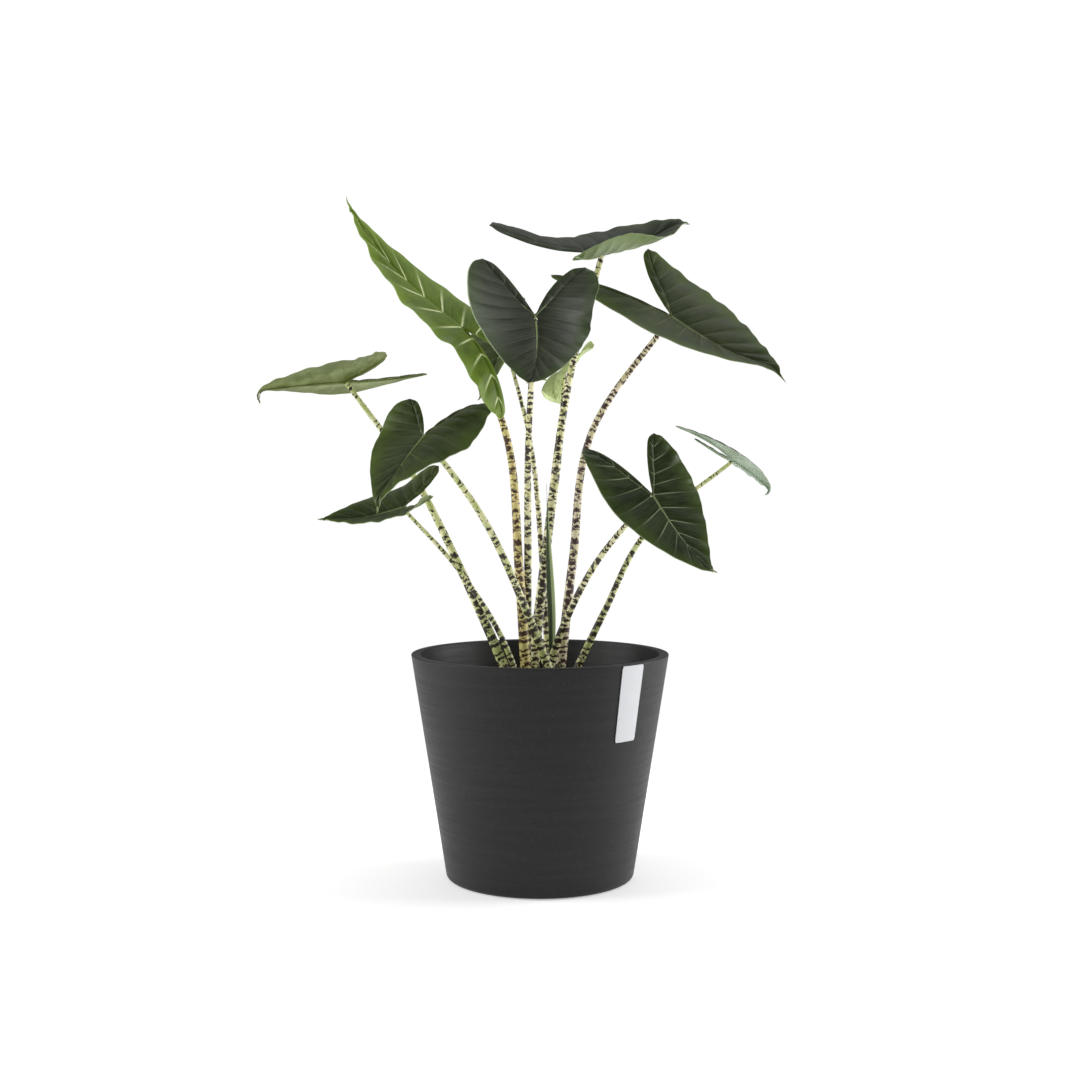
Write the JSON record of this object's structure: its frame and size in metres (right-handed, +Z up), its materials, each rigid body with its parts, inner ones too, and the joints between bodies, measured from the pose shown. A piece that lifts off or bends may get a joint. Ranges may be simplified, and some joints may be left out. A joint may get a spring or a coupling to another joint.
{
  "type": "potted alocasia",
  "caption": "Live foliage plant with arrow-shaped dark leaves on tall zebra-marked stalks, planted in a nursery pot inside a round tapered dark cachepot.",
  "frame": {"origin": "centre of the cachepot's flat base, on the surface it stands on", "axes": "+Z up along the pot's axis; -Y towards the front, the side that faces the viewer; +X to the viewer's right"},
  "size_m": [0.5938, 0.3371, 0.778],
  "materials": {
    "glazed_stone": "matte anthracite with fine level brush marks",
    "label_white": "plain white, lettering left off",
    "nursery_plastic": "black moulded",
    "potting_mix": "damp crumbly bark and peat",
    "dark_leaf": "satin dark grey-green with raised side veins",
    "young_leaf": "satin bright green with pale veins",
    "pale_leaf": "thin pale green, lets light through",
    "marked_stalk": "cream and yellow-green with irregular dark brown bands",
    "spear_green": "satin green, paler on one half"
  },
  "bodies": {
    "root": {"cachepot": "glazed_stone", "label_strip": "label_white", "nursery_pot": "nursery_plastic", "potting_mix": "potting_mix", "blade_left_high": "young_leaf", "blade_front_high": "dark_leaf", "blade_top": "dark_leaf", "blade_right_high": "dark_leaf", "blade_left_middle": "dark_leaf", "blade_left_front": "dark_leaf", "blade_left_low": "dark_leaf", "blade_right_front": "dark_leaf", "blade_right_middle": "dark_leaf", "blade_back_left": "dark_leaf", "blade_back_right": "pale_leaf", "petiole_left_high": "marked_stalk", "petiole_front_high": "marked_stalk", "petiole_top": "marked_stalk", "petiole_right_high": "marked_stalk", "petiole_left_middle": "marked_stalk", "petiole_left_front": "marked_stalk", "petiole_left_low": "marked_stalk", "petiole_right_front": "marked_stalk", "petiole_right_middle": "marked_stalk", "petiole_back_left": "marked_stalk", "petiole_back_right": "marked_stalk", "spear": "spear_green"}
  },
  "joints": []
}
